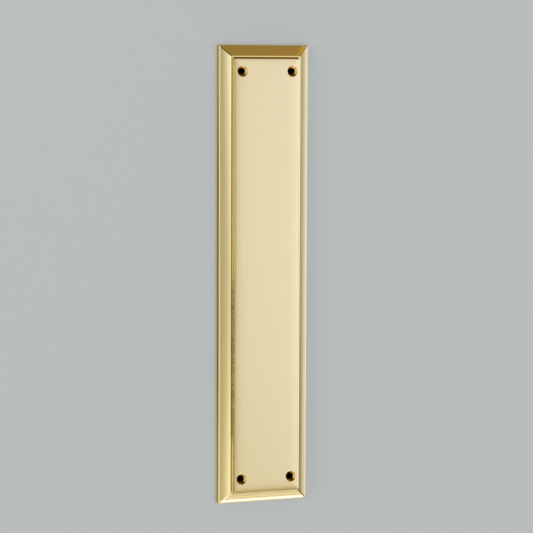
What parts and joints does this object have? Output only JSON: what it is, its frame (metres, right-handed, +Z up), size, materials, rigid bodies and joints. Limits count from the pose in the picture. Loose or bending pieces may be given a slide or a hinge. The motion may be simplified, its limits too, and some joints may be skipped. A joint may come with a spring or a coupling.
{
  "type": "door finger plate",
  "caption": "Upright rectangular brass door finger plate: a mitred hollow-cove border round a raised flat field, with countersunk screw holes near its corners and a hollow back.",
  "frame": {"origin": "centre of the plate's back, on the door's surface, midway between the screw holes", "axes": "+Z up along the plate's length, +Y into the door, so the front faces -Y and +X is to the right seen from the front"},
  "size_m": [0.0624, 0.0115, 0.305],
  "materials": {
    "polished_brass": "polished"
  },
  "bodies": {
    "root": {"finger_plate": "polished_brass"}
  },
  "joints": []
}
